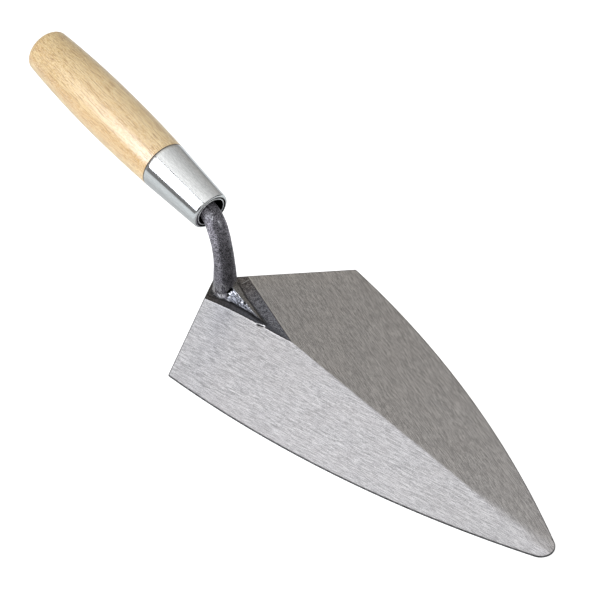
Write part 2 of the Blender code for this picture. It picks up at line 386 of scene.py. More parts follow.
def ground_steel(heel_x):
    """Steel ground along two directions that meet at the ridge."""
    made, tree = new_material("ground_steel")
    place = object_place(tree)
    x, y, _ = axes(tree, place)
    from_heel = maths(tree, "SUBTRACT", x, heel_x)
    # The ridge is crisp at first and fades out into the tip.
    crisp = ramp(tree, from_heel, SCALE_TIP, 0.180, 0.0004, 0.0016)
    ridge_width = maths(tree, "ADD", crisp, ramp(tree, from_heel, 0.185, BLADE_LENGTH, 0.0, 0.009))
    wander = noise_value(tree, scaled(tree, place, (60, 260, 1)), detail=3.0)
    across = maths(tree, "MULTIPLY_ADD", maths(tree, "SUBTRACT", wander, 0.5), ridge_width, y)
    side = ramp(tree, maths(tree, "DIVIDE", across, ridge_width), -1.0, 1.0)
    strokes = {}
    for size, (width, length) in STROKES.items():
        left = stroke_noise(tree, place, STROKES_LEFT, width, length, 3.1)
        right = stroke_noise(tree, place, STROKES_RIGHT, width, length, 9.7)
        strokes[size] = mixed_value(tree, side, left, right)
    speckle = noise_value(tree, place, scale=2100.0, detail=0.0)
    drawn = weighed(tree, strokes["fine"], 0.6, strokes["broad"], 0.4)
    tone = product(tree, ramp(tree, drawn, 0.44, 0.56), 0.70)
    tone = maths(tree, "MULTIPLY_ADD", ramp(tree, speckle, 0.38, 0.62), 0.30, tone)
    steel = mixed(tree, tone, grey(0.41, 0.99, 0.99, 1.02), grey(0.93, 0.99, 0.99, 1.0))
    cloud = noise_value(tree, place, scale=45.0, detail=3.0)
    steel = mixed(tree, ramp(tree, cloud, 0.3, 0.75, 0.0, 0.14), steel, grey(0.72, 1.03, 0.985, 0.97))
    # The "burr" attribute is a painted highlight on the burr beside the V.
    steel = mixed(tree, attribute(tree, "burr"), steel, grey(1.0))
    # The "groove" attribute is painted shade: black in the grooves, at a step, round the foot and in the
    # slit, and in a band along the outline.
    steel = mixed(tree, attribute(tree, "groove"), steel, grey(0.02))
    # The lines scatter light across themselves, so the tangent lies across them.
    tangents = [(-math.sin(a), math.cos(a), 0.0) for a in (STROKES_LEFT, STROKES_RIGHT)]
    tangent = mixed(tree, side, *tangents, kind="Vector")
    height = maths(tree, "MULTIPLY_ADD", strokes["broad"], 0.6, strokes["fine"])
    return finished(
        made,
        Base_Color=steel,
        Metallic=1.0,
        Roughness=maths(tree, "MULTIPLY_ADD", strokes["fine"], 0.16, 0.35),
        Anisotropic=0.90,
        Tangent=tangent,
        Normal=raised(tree, height, GRIND_DEPTH),
    )


def cut_edge():
    """The sheared rim of the blade, dark and dull with a few bright rubs."""
    made, tree = new_material("cut_edge")
    place = object_place(tree)
    spots = noise_value(tree, place, scale=900.0, detail=4.0, roughness=0.7)
    colour = mixed(tree, ramp(tree, spots, 0.42, 0.72), grey(0.035), grey(0.22))
    return finished(
        made,
        Base_Color=colour,
        Metallic=0.85,
        Roughness=ramp(tree, spots, 0.3, 0.7, 0.62, 0.42),
        Normal=raised(tree, spots, RIM_DEPTH, 0.6),
    )


def plate_scale(heel_x):
    """The unground V: rolled plate with its dark scale, browner at the heel and bluer ahead."""
    made, tree = new_material("plate_scale")
    place = object_place(tree)
    x, y, _ = axes(tree, place)
    from_heel = maths(tree, "SUBTRACT", x, heel_x)
    grain = noise_value(tree, place, scale=1500.0, detail=3.0, roughness=0.7)
    patch = noise_value(tree, place, scale=420.0, detail=3.0)
    ahead = ramp(tree, from_heel, 0.008, 0.034)
    left = ramp(tree, y, 0.001, -0.001)
    dark = mixed(tree, ahead, grey(0.050, 1.1, 0.98, 0.92), grey(0.065, 0.93, 0.98, 1.15))
    light = mixed(tree, ahead, grey(0.26, 1.08, 0.98, 0.94), grey(0.27, 0.97, 0.98, 1.08))
    light = mixed(tree, product(tree, left, 0.72), light, dark)
    shade = weighed(tree, grain, 0.8, patch, 0.2)
    colour = mixed(tree, ramp(tree, shade, 0.43, 0.58), dark, light)
    # The "burr" attribute is a painted highlight along a line behind the ledge.
    colour = mixed(tree, attribute(tree, "burr"), colour, grey(0.62))
    # The "groove" attribute is painted shade: black in the grooves, at the ledge's step and round the foot,
    # and in a band along the outline.
    colour = mixed(tree, attribute(tree, "groove"), colour, grey(0.008))
    return finished(
        made,
        Base_Color=colour,
        Metallic=0.6,
        Roughness=ramp(tree, grain, 0.3, 0.7, 0.42, 0.62),
        Normal=raised(tree, shade, PLATE_DEPTH, 0.7),
    )


def forged_steel(heel_x):
    """Forge scale, mottled from near black to grey, and bare metal where the attributes say it is worn, with
    painted light, shade and a highlight where they say so.
    """
    made, tree = new_material("forged_steel")
    place = object_place(tree)
    x, y, _ = axes(tree, place)
    turn = maths(tree, "ARCTAN2", y, maths(tree, "SUBTRACT", x, heel_x + NECK_X))
    grain = noise_value(tree, place, scale=2100.0, detail=3.0, roughness=0.7)
    patch = noise_value(tree, place, scale=420.0, detail=3.0, roughness=0.6)
    shade = weighed(tree, grain, 0.78, patch, 0.22)
    mottle = ramp(tree, shade, 0.42, 0.61)
    # The "tone" attribute is painted light and shade on the neck's scale.
    level = maths(tree, "ADD", attribute(tree, "tone"), 0.62)
    scale = mixed(tree, mottle, grey(0.013, 1.0, 0.94, 1.10), grey(0.235, 1.0, 0.96, 1.08))
    scale = node(tree, "VectorMath", {0: scale, 1: level}, operation="MULTIPLY").outputs[0]
    rusty = mixed(tree, mottle, grey(0.055, 1.08, 1.0, 0.92), grey(0.36, 1.06, 1.0, 0.93))
    scale = mixed(tree, attribute(tree, "brown"), scale, rusty)
    # The worn flank is drawn out in streaks towards the foot's point.
    drawn = scaled(tree, place, (360, 2100, 1500))
    streak = noise_value(tree, drawn, detail=3.0, roughness=0.7)
    pits = ramp(tree, streak, 0.41, 0.60)
    bright = mixed(tree, pits, grey(0.018, 0.92, 0.98, 1.16), grey(0.19, 0.94, 0.98, 1.09))
    # A painted highlight along the crest's line.
    crest = product(tree, attribute(tree, "crest"), ramp(tree, grain, 0.47, 0.60))
    bright = mixed(tree, crest, bright, grey(0.60))
    # Thin bright scales fan down from the neck over the left wing.
    fan = node(tree, "CombineXYZ", {0: product(tree, turn, 13.0), 1: 0.3}).outputs[0]
    small = scaled(tree, place, (260, 260, 260))
    fan = node(tree, "VectorMath", {0: fan, 1: small}, operation="ADD").outputs[0]
    fan = ramp(tree, noise_value(tree, fan, roughness=0.6), 0.50, 0.60)
    fan = product(tree, attribute(tree, "wing"), fan)
    scale = mixed(tree, fan, scale, grey(0.62, 1.0, 0.99, 0.98))
    bare = attribute(tree, "bare")
    painted_shade = attribute(tree, "painted_shade")
    colour = mixed(tree, bare, scale, bright)
    flake = product(tree, attribute(tree, "flake"), ramp(tree, grain, 0.36, 0.52, 0.45, 1.0))
    colour = mixed(tree, flake, colour, grey(0.90, 0.97, 0.98, 1.04))
    # Painted shade: black in the dents and along the foot's base.
    colour = mixed(tree, painted_shade, colour, grey(0.006))
    bare = maths(tree, "MAXIMUM", bare, flake)
    rough_value = mixed_value(tree, bare, ramp(tree, shade, 0.3, 0.7, 0.56, 0.42), 0.34)
    return finished(
        made,
        Base_Color=colour,
        Metallic=mixed_value(tree, bare, 0.35, 0.9),
        Roughness=mixed_value(tree, painted_shade, rough_value, 0.9),
        Normal=raised(tree, shade, FORGE_DEPTH, 0.8),
    )


def plated_steel(heel_x):
    """Bright satin plate, with faint lines along the cone from drawing, and painted shade at the joint's end,
    in the mouth's groove and inside.
    """
    made, tree = new_material("plated_steel")
    place = turned_place(tree, heel_x)
    grain = noise_value(tree, scaled(tree, place, (1400, 1400, 500)), detail=3.0, roughness=0.65)
    lines = noise_value(tree, scaled(tree, place, (1700, 1700, 40)))
    cloud = noise_value(tree, place, scale=160.0, detail=3.0)
    shade = weighed(tree, grain, 0.6, lines, 0.4)
    dull, clear = grey(0.70, 0.985, 1.0, 1.0), grey(0.86, 0.985, 1.0, 0.995)
    colour = mixed(tree, ramp(tree, shade, 0.3, 0.7), dull, clear)
    # The "inside" attribute is painted shade: black at the joint's end, in the mouth's groove and inside.
    colour = mixed(tree, attribute(tree, "inside"), colour, grey(0.02))
    rough_value = maths(tree, "MULTIPLY_ADD", cloud, 0.06, 0.07)
    rough_value = maths(tree, "MULTIPLY_ADD", grain, 0.05, rough_value)
    return finished(
        made,
        Base_Color=colour,
        Metallic=1.0,
        Roughness=rough_value,
        Normal=raised(tree, shade, SATIN_DEPTH, 0.7),
    )


def lacquered_wood(heel_x):
    """Pale close-grained hardwood: streaks and flecks along Z, under a clear satin lacquer, with painted
    shade on its -Y side, towards the butt and in the joint.
    """
    made, tree = new_material("lacquered_wood")
    place = turned_place(tree, heel_x)
    broad = noise_value(tree, scaled(tree, place, (200, 200, 8)))
    streak = noise_value(tree, scaled(tree, place, (1500, 1500, 24)), detail=3.0, roughness=0.65)
    fleck = noise_value(tree, scaled(tree, place, (2900, 2900, 1500)), roughness=0.8)
    pores = noise_value(tree, scaled(tree, place, (3000, 3000, 130), (7, 3, 1)), detail=1.0)
    pale, tan, orange = (0.81, 0.60, 0.29, 1), (0.66, 0.42, 0.13, 1), (0.58, 0.305, 0.042, 1)
    white, brown, black = (1.0, 0.84, 0.54, 1), (0.38, 0.18, 0.045, 1), (0.035, 0.018, 0.008, 1)
    _, across, depth = axes(tree, place)
    colour = mixed(tree, ramp(tree, streak, 0.42, 0.60), pale, tan)
    flank = ramp(tree, maths(tree, "ABSOLUTE", across), 0.003, 0.013, 0.45, 1.15)
    figure = product(tree, ramp(tree, broad, 0.46, 0.66, 0.0, 0.72), flank)
    colour = mixed(tree, figure, colour, orange)
    colour = mixed(tree, ramp(tree, fleck, 0.45, 0.56, 0.0, 0.85), colour, white)
    colour = mixed(tree, ramp(tree, pores, 0.53, 0.64, 0.0, 0.70), colour, brown)
    # Painted shade, darker on the -Y side.
    shaded = ramp(tree, across, -0.014, 0.006, 1.0, 0.0)
    colour = mixed(tree, product(tree, shaded, 0.55), colour, (0.94, 0.87, 0.76, 1), blend="MULTIPLY")
    # Painted shade, darker towards the butt.
    end = ramp(tree, depth, 0.085, 0.135)
    colour = mixed(tree, end, colour, (0.90, 0.89, 0.85, 1), blend="MULTIPLY")
    # Painted shade, black in the joint's gap.
    start = FERRULE_LENGTH + GAP
    joint = ramp(tree, depth, start + 0.00005, start + 0.00035, 1.0, 0.0)
    colour = mixed(tree, joint, colour, black)
    grain = maths(tree, "MULTIPLY_ADD", fleck, 0.5, streak)
    return finished(
        made,
        Base_Color=colour,
        Roughness=ramp(tree, fleck, 0.3, 0.7, 0.52, 0.40),
        Coat_Weight=1.0,
        Coat_Roughness=0.29,
        Coat_IOR=1.9,
        Normal=raised(tree, grain, GRAIN_DEPTH, 0.6),
    )


# Blade


def edge_arc():
    """(centre, radius) of a long edge's arc, from the corner at its toe-in to the tip's round."""
    reach = BLADE_LENGTH - TIP_RADIUS - HEEL_SWEEP
    half = BLADE_WIDTH / 2
    spare = half * math.cos(TOE_IN) - reach * math.sin(TOE_IN) - TIP_RADIUS
    radius = (reach**2 + half**2 - TIP_RADIUS**2) / (2 * spare)
    return (HEEL_SWEEP - radius * math.sin(TOE_IN), half - radius * math.cos(TOE_IN)), radius


ARC_CENTRE, ARC_RADIUS = edge_arc()
HEEL_SIDE = math.hypot(HEEL_SWEEP, BLADE_WIDTH / 2)
HEEL_NORMAL = (-BLADE_WIDTH / 2 / HEEL_SIDE, HEEL_SWEEP / HEEL_SIDE)


def on_heel(x, inset):
    """The heel's half width at x, with the outline drawn in by inset."""
    return (x * BLADE_WIDTH / 2 - inset * HEEL_SIDE) / HEEL_SWEEP


def corner_centre():
    """The centre of the small round at the heel's corner, which touches the heel and the long edge."""
    low, high = HEEL_SWEEP / 2, HEEL_SWEEP * 1.2
    for _ in range(60):
        x = (low + high) / 2
        away = math.hypot(x - ARC_CENTRE[0], on_heel(x, CORNER_ROUND) - ARC_CENTRE[1])
        if away < ARC_RADIUS - CORNER_ROUND:
            low = x
        else:
            high = x
    return x, on_heel(x, CORNER_ROUND)


def arc_points(centre, reach, first, last, steps, skip=1):
    """Points of an arc, with their normals: (x, y, normal x, normal y)."""
    points = []
    for step in range(skip, steps + 1):
        turn = first + (last - first) * step / steps
        across, up = math.sin(turn), math.cos(turn)
        points.append((centre[0] + reach * across, centre[1] + reach * up, across, up))
    return points


def half_outline():
    """The rim's left half from the heel's apex to the tip, drawn in by RIM: (x, y, normal x, normal y)."""
    corner = corner_centre()
    round_in = CORNER_ROUND - RIM
    heel_turn = math.atan2(*HEEL_NORMAL)
    edge_turn = math.atan2(corner[0] - ARC_CENTRE[0], corner[1] - ARC_CENTRE[1])
    dense_end = math.asin((SCALE_TIP + 0.004 - ARC_CENTRE[0]) / ARC_RADIUS)
    tip_x = BLADE_LENGTH - TIP_RADIUS
    tip_turn = math.asin((tip_x - ARC_CENTRE[0]) / (ARC_RADIUS - TIP_RADIUS))
    start = RIM * HEEL_SIDE / (BLADE_WIDTH / 2)
    heel_end = corner[0] + round_in * HEEL_NORMAL[0]
    heel_steps, corner_steps, dense_steps, edge_steps, tip_steps = 110, 5, 64, 110, 14
    points = [(start, 0.0, -1.0, 0.0)]
    for step in range(1, heel_steps):
        x = start + (heel_end - start) * step / heel_steps
        points.append((x, on_heel(x, RIM), *HEEL_NORMAL))
    points += arc_points(corner, round_in, heel_turn, edge_turn, corner_steps, 0)
    points += arc_points(ARC_CENTRE, ARC_RADIUS - RIM, edge_turn, dense_end, dense_steps)
    points += arc_points(ARC_CENTRE, ARC_RADIUS - RIM, dense_end, tip_turn, edge_steps)
    points += arc_points((tip_x, 0.0), TIP_RADIUS - RIM, tip_turn, math.pi / 2, tip_steps)
    return points


def scale_edges(x):
    """(right side's y, left side's y) of the unground V: the right is nearly straight, the left ragged."""
    part = max(0.0, (SCALE_TIP - x) / (SCALE_TIP - SCALE_BASE))
    hollow = 1 - SCALE_HOLLOW * math.sin(math.pi * min(1.0, part))
    ragged = 0.00022 * rough(Vector((x, 0, 0)), 0.0011) + 0.00018 * rough(Vector((x, 1, 0)), 0.0004)
    notch = 0.0012 * min(1.0, max(0.0, (x - 0.0405) / 0.0043)) * smooth_step(0.0470, 0.0452, x)
    near = -SCALE_LEFT * part * hollow + ragged * min(1.0, part * 6) + notch
    far = SCALE_RIGHT * part + 0.00005 * rough(Vector((x, 2, 0)), 0.0009) * min(1.0, part * 6)
    return min(near, 0.0), max(far, 0.0)


def facet_height(x, y):
    """The ground roof: straight down from a rounded ridge to the long edge on each side."""
    along = min(x, BLADE_LENGTH - TIP_RADIUS)
    ridge = (RIDGE_THICKNESS - EDGE_THICKNESS) * (1 - along / BLADE_LENGTH)
    half = ARC_CENTRE[1] + math.sqrt(ARC_RADIUS**2 - (along - ARC_CENTRE[0]) ** 2)
    soft = 0.0003 + 0.004 * smooth_step(SCALE_TIP, BLADE_LENGTH, x)
    away = math.hypot(y, soft)
    waves = 0.00001 * rough(Vector((x, y, 0)), 0.022)
    return EDGE_THICKNESS + ridge * max(0.0, 1 - away / half) + waves * min(1.0, ridge / 0.0003)


def from_edge(x, y):
    """How far in a place on the blade is from its outline."""
    across = abs(y)
    heel = (x * BLADE_WIDTH / 2 - across * HEEL_SWEEP) / HEEL_SIDE
    side = ARC_RADIUS - math.hypot(x - ARC_CENTRE[0], across - ARC_CENTRE[1])
    tip_x = BLADE_LENGTH - TIP_RADIUS
    if x > tip_x:
        side = TIP_RADIUS - math.hypot(x - tip_x, across)
    return min(heel, side)


def slit_share(x, y):
    """1 in the fold's slit, falling to 0 beside it."""
    (x0, y0), (x1, y1) = SLIT
    length = math.hypot(x1 - x0, y1 - y0)
    along = ((x - x0) * (x1 - x0) + (y - y0) * (y1 - y0)) / length
    away = ((y - y0) * (x1 - x0) - (x - x0) * (y1 - y0)) / length
    ends = smooth_step(-0.0003, 0.0004, along) * smooth_step(length + 0.0003, length - 0.0006, along)
    return min(1.0, 3.0 * bump(away, SLIT_WIDTH)) * ends


def beside_foot(x, y):
    """How far a place on the V is from the outline of the shank's foot, across the blade."""
    if not FOOT[0][0] <= x <= FOOT[-1][0]:
        return 1.0
    left, _, _, right = smooth_row(FOOT, x)
    return min(abs(y - left), abs(y - right))


def blade_top(x, y, near, far):
    """(height, dark share, bright share) of the blade's top. The dark share is painted shade in the grooves
    beside the V, at the ledge's step, round the foot and in the slit, and a dark band along the outline; the
    bright share is a painted highlight on the burr and on a line behind the ledge.
    """
    fade = smooth_step(SCALE_TIP, SCALE_TIP - 0.004, x)
    away = min(abs(y - near), abs(y - far))
    left = 1.0 if y < 0 else 0.0
    groove = bump(away, GROOVE_WIDTH + 0.00006 * left) * fade * (0.7 + 0.3 * left)
    rim = 0.80 * smooth_step(0.00055, 0.00028, from_edge(x, y))
    if near < y < far:
        point = Vector((x, y, 0))
        height = PLATEAU + 0.00003 * rough(point, 0.0022) + 0.00002 * rough(point, 0.0007)
        beyond = smooth_step(*LEDGE_Y, y)
        height -= LEDGE_DROP * smooth_step(LEDGE_X + 0.00015, LEDGE_X - 0.00015, x) * beyond
        ledge = bump(x - LEDGE_X, 0.00032) * beyond
        foot = 0.8 * bump(beside_foot(x, y), 0.00035)
        # A painted highlight along the lip's line behind the ledge.
        lip = 0.6 * bump(x - LEDGE_HIGHLIGHT_X, 0.00030) * beyond
        # Painted shade: dark in the groove, at the ledge's step and round the foot, and in a band along the
        # outline.
        return height - GROOVE * groove, max(0.95 * groove, ledge, rim, foot), lip * (1 - rim)
    slit = slit_share(x, y)
    start, full, fading, end = SLIVER
    torn = smooth_step(start, full, x) * smooth_step(end, fading, x) * left
    burr = min(1.0, 1.3 * bump(away - BURR_AWAY + 0.00018 * torn, BURR_WIDTH)) * fade
    height = min(facet_height(x, y), PLATEAU + 0.0001)
    height += (BURR_HEIGHT + 0.00007 * left + 0.00015 * torn) * burr
    # Painted shade: dark in the groove, in the slit and in a band along the outline.
    dark = max(0.8 * groove * (1 - torn), slit, rim)
    # A painted highlight on the burr.
    bright = burr * max(torn, 0.9)
    return height - GROOVE * groove - SLIT_DEPTH * slit, dark, bright * (1 - dark)


def graded(count):
    """Shares from 0 to 1, closest together at 0."""
    return [(step / count) ** 1.7 for step in range(1, count + 1)]


def row_across(half, near, far, slant=1.0):
    """The ys of one row of the top, from right to left: a facet, the unground V and a facet."""

    def facet(inner):
        width = half - inner
        steps = [min(step, width * 0.04 * (i + 1)) for i, step in enumerate(BESIDE_V)]
        ends = [width - min(step / slant, width * 0.1 * i) for i, step in enumerate(BESIDE_RIM)]
        span = ends[-1] - steps[-1]
        rest = [steps[-1] + span * share for share in graded(26)]
        return [inner + value for value in steps + rest + ends[-2::-1]]

    inner = PLATEAU_COLUMNS - 5
    plateau = [near + (far - near) * share for share in (0.0, 0.012, 0.03)]
    plateau += [near + (far - near) * (0.03 + 0.94 * step / inner) for step in range(1, inner + 1)]
    plateau += [near + (far - near) * share for share in (0.988, 1.0)]
    return [-y for y in reversed(facet(-near))] + plateau + facet(far)


def make_blade(heel_x, materials):
    """A ladder of rows across the top, a bevelled rim, and a flat underside."""
    shape = bmesh.new()
    # The "groove" layer holds the painted shade.
    painted_shade_layer = shape.verts.layers.float.new("groove")
    # The "burr" layer holds the painted highlight.
    painted_highlight_layer = shape.verts.layers.float.new("burr")
    columns = len(row_across(0.05, -0.01, 0.01))
    facet_columns = (columns - PLATEAU_COLUMNS) // 2
    top_rows, rim_rows = [], []
    for x, half, normal_x, normal_y in half_outline():
        near, far = scale_edges(x)
        near, far = max(near, -half), min(far, half)
        row = []
        for y in row_across(half, near, far, max(abs(normal_y), 0.2)):
            height, groove, burr = blade_top(x, y, near, far)
            made = shape.verts.new((x + heel_x, y, height))
            made[painted_shade_layer] = groove
            made[painted_highlight_layer] = burr
            row.append(made)
        top_rows.append(row)
        rim = []
        for side, corner in ((-1, row[0]), (1, row[-1])):
            out_x = x + heel_x + normal_x * RIM
            out_y = side * (half + normal_y * RIM)
            heights = (corner.co.z - RIM, RIM)
            rim.append([shape.verts.new((out_x, out_y, height)) for height in heights])
            rim[-1].append(shape.verts.new((x + heel_x, side * half, 0.0)))
        rim_rows.append(rim)
    for low, high, low_rim, high_rim in zip(top_rows, top_rows[1:], rim_rows, rim_rows[1:]):
        for i in range(columns - 1):
            face = shape.faces.new((low[i], high[i], high[i + 1], low[i + 1]))
            face.material_index = 1 if facet_columns <= i < facet_columns + PLATEAU_COLUMNS - 1 else 0
        for side, end in ((0, 0), (1, -1)):
            first = [low[end], *low_rim[side]]
            second = [high[end], *high_rim[side]]
            for i in range(3):
                face = shape.faces.new((first[i], first[i + 1], second[i + 1], second[i]))
                face.material_index = 2
        shape.faces.new((low_rim[0][2], low_rim[1][2], high_rim[1][2], high_rim[0][2]))
    bmesh.ops.remove_doubles(shape, verts=shape.verts, dist=1e-6)
    bmesh.ops.dissolve_degenerate(shape, dist=1e-7, edges=shape.edges)
    bmesh.ops.recalc_face_normals(shape, faces=shape.faces)
    return finish_mesh("blade_ground", shape, materials, angle=22)


# Shank


def handle_axis():
    """The direction from the ferrule's mouth to the butt."""
    return Vector((-math.cos(HANDLE_LIFT), 0, math.sin(HANDLE_LIFT)))


def add_loft(shape, rings):
    """Adds a closed skin through rings of points."""
    rings = [[shape.verts.new(point) for point in ring] for ring in rings]
    count = len(rings[0])
    for low, high in zip(rings, rings[1:]):
        for i in range(count):
            shape.faces.new((low[i], low[(i + 1) % count], high[(i + 1) % count], high[i]))
    shape.faces.new(rings[0])
    shape.faces.new(rings[-1])


def foot_rings():
    """Sections across the foot: up its left flank, over the crest and down its right flank."""
    rings = []
    for step in range(FOOT_STEPS + 1):
        x = FOOT[0][0] + (FOOT[-1][0] - FOOT[0][0]) * step / FOOT_STEPS
        left, crest, rise, right = smooth_row(FOOT, x)
        wing = smooth_step(0.014, 0.008, x)
        ring = []
        for i in range(-FLANK_STEPS, FLANK_STEPS + 1):
            part = abs(i) / FLANK_STEPS
            y = crest + ((left if i < 0 else right) - crest) * part
            power = 1.05 + 0.75 * wing + (0.25 if i < 0 else 0.1)
            ring.append(Vector((x, y, PLATEAU + rise * (1 - part) ** power)))
        ring.append(Vector((x, right, PLATEAU - FOOT_SINK)))
        ring.append(Vector((x, left, PLATEAU - FOOT_SINK)))
        rings.append(ring)
    return rings


def section(centre, along, half, squareness):
    """A ring across the shank: round at a squareness of 2, and nearly square at a high one."""
    left = Vector((0, 1, 0))
    front = left.cross(along)
    ring = []
    for step in range(NECK_SIDES):
        turn = 2 * math.pi * step / NECK_SIDES
        across, up = math.cos(turn), math.sin(turn)
        size = half / (abs(across) ** squareness + abs(up) ** squareness) ** (1 / squareness)
        ring.append(centre + front * (size * across) + left * (size * up))
    return ring


def bezier(points, part):
    """(place, direction) on a cubic Bezier curve."""
    a, b, c, d = points
    rest = 1 - part
    place = a * rest**3 + b * (3 * rest**2 * part) + c * (3 * rest * part**2) + d * part**3
    direction = (b - a) * rest**2 + (c - b) * (2 * rest * part) + (d - c) * part**2
    return place, direction.normalized()


def neck_rings():
    """Rings up the neck, round its bend and along the tang."""
    up = Vector((0, 0, 1))
    slope = Vector((-math.cos(BEND_SLOPE), 0, math.sin(BEND_SLOPE)))
    base = Vector((NECK_X, 0, NECK_BASE_Z))
    end = MOUTH + handle_axis() * BEND_END_DEPTH
    rise = (base, base + up * 0.010, BEND_START - slope * 0.010, BEND_START)
    bend = (BEND_START, BEND_START + slope * 0.0045, end - handle_axis() * 0.0060, end)
    rings = []
    root_steps = 6
    for step in range(root_steps):
        z = NECK_START_Z + (NECK_BASE_Z - NECK_START_Z) * step / root_steps
        rings.append(section(Vector((NECK_X, 0, z)), up, between(NECK_RADII, z), 2.0))
    for curve, steps, skip in ((rise, 14, 0), (bend, 14, 1)):
        for step in range(skip, steps + 1):
            place, direction = bezier(curve, step / steps)
            rings.append(section(place, direction, between(NECK_RADII, place.z), 2.0))
    thick = NECK_RADII[-1][1]
    tang_steps = 12
    for step in range(1, tang_steps + 1):
        part = step / tang_steps
        depth = BEND_END_DEPTH + (TANG_END_DEPTH - BEND_END_DEPTH) * part
        half = thick + (TANG_HALF - thick) * part
        rings.append(section(MOUTH + handle_axis() * depth, handle_axis(), half, 2.0 + 6.0 * part))
    return rings


def marks(*rows):
    """Strokes on the forging, from rows of (start, end, radius, strength), all but the last in mm."""
    strokes = []
    for start, end, radius, strength in rows:
        strokes.append((Vector(start) / 1000, Vector(end) / 1000, radius / 1000, strength))
    return strokes


DENTS = marks(  # their strength is a depth in metres
    ((16.4, -0.8, 6.7), (15.4, -3.2, 4.8), 0.42, 0.0010),
    ((16.2, -3.6, 4.3), (16.5, -3.9, 4), 0.4, 0.0008),
    ((26.9, -1, 4.6), (27.1, -1.1, 4.5), 0.5, 0.0009),
    ((20.5, -1, 5.6), (20.9, -1.2, 5.4), 0.3, 0.0004),
)
FLAKES = marks(  # bare scratches below the ferrule and bright flakes on the foot
    ((0.3, -4.2, 48.5), (4.3, -3.1, 47), 0.28, 1.4),
    ((0.1, -4.8, 47.5), (2.2, -4.6, 46.7), 0.26, 1.0),
    ((0.4, -3.2, 49.5), (2.6, -1.9, 49.2), 0.24, 0.8),
    ((3.6, -2.4, 48.2), (4.3, -3.3, 46.9), 0.26, 0.9),
    ((1.2, -3.6, 48.6), (2.4, -2.8, 48.6), 0.8, 0.30),
    ((6.4, -1, 46), (7, -0.8, 45.6), 0.36, 0.7),
    ((7.2, -0.6, 45), (8.2, -0.6, 43.8), 0.6, 0.40),
    ((14, -7, 2.5), (14.7, -6.8, 2.6), 0.42, 1.3),
    ((10.6, -7.7, 2.5), (13.3, -7.4, 2.5), 0.26, 0.6),
    ((11.8, -6.4, 3), (13.5, -6.7, 2.8), 0.28, 0.7),
    ((9.9, -6.2, 7), (11.3, -6.1, 5.2), 0.26, 0.45),
    ((12.2, -5.7, 7.1), (13.3, -5.2, 5.9), 0.28, 0.55),
    ((13.4, -4.9, 10.6), (14.3, -4.1, 8.5), 0.26, 0.40),
    ((17, -1.9, 5.6), (17.4, -2.1, 5.4), 0.34, 0.9),
    ((16.5, -2.9, 4.8), (17, -2.9, 4.7), 0.36, 1.1),
    ((17.6, -4, 3.8), (18.4, -3.4, 4.2), 0.28, 0.7),
    ((17.9, -5.3, 2.6), (19.3, -5, 2.5), 0.34, 1.1),
    ((18, -1.1, 6), (21.3, -1.3, 5.2), 0.26, 0.7),
    ((25.4, -1.7, 4.2), (25.7, -1.7, 4.1), 0.28, 1.0),
    ((27.4, -0.7, 4.5), (27.7, -0.7, 4.4), 0.28, 0.9),
)
PAINTED_SHADE_SIDE = Vector((0.64, 0.77, 0.0))  # the neck's tone is painted darker on the side that faces this way and lighter on the side that faces away, towards the key light, with a lighter edge where it faces straight this way: painted light and shade


def on_foot(point):
    """(share on the bare left flank, share on the crest's line, where a highlight is painted) at a place on
    the foot's point.
    """
    if not FOOT[0][0] < point.x < FOOT[-1][0] + 0.0004:
        return 0.0, 0.0
    left, crest, _, _ = smooth_row(FOOT, min(point.x, FOOT[-1][0]))
    along = smooth_step(0.0156, 0.0164, point.x + 0.65 * (point.y + 0.0030))
    along *= smooth_step(0.0080, 0.0072, point.z)
    across = smooth_step(crest + 0.0005, crest - 0.0001, point.y)
    low = smooth_step(left - 0.0001, left + 0.0005, point.y)
    dim = 1 - 0.3 * smooth_step(0.024, 0.044, point.x)
    line = bump(point.y - crest + 0.0002, 0.00028) * along
    return along * across * low * dim, line


def strongest(strokes, point):
    """The largest share of any stroke at a point, times its strength."""
    best = 0.0
    for start, end, radius, strength in strokes:
        span = end - start
        part = min(1.0, max(0.0, (point - start).dot(span) / span.length_squared))
        best = max(best, strength * bump((point - start - span * part).length, radius))
    return best


def on_wing(point):
    """1 on the foot's left wing round the neck, fading up the neck."""
    offset = point - Vector((NECK_X, 0, 0.004))
    reach = math.hypot(offset.x, offset.y)
    around = smooth_step(0.3, -0.2, offset.y / max(reach, 1e-6)) * smooth_step(0.0064, 0.0045, offset.x)
    return around * smooth_step(0.0058, 0.0066, reach) * smooth_step(0.0125, 0.0090, point.z)


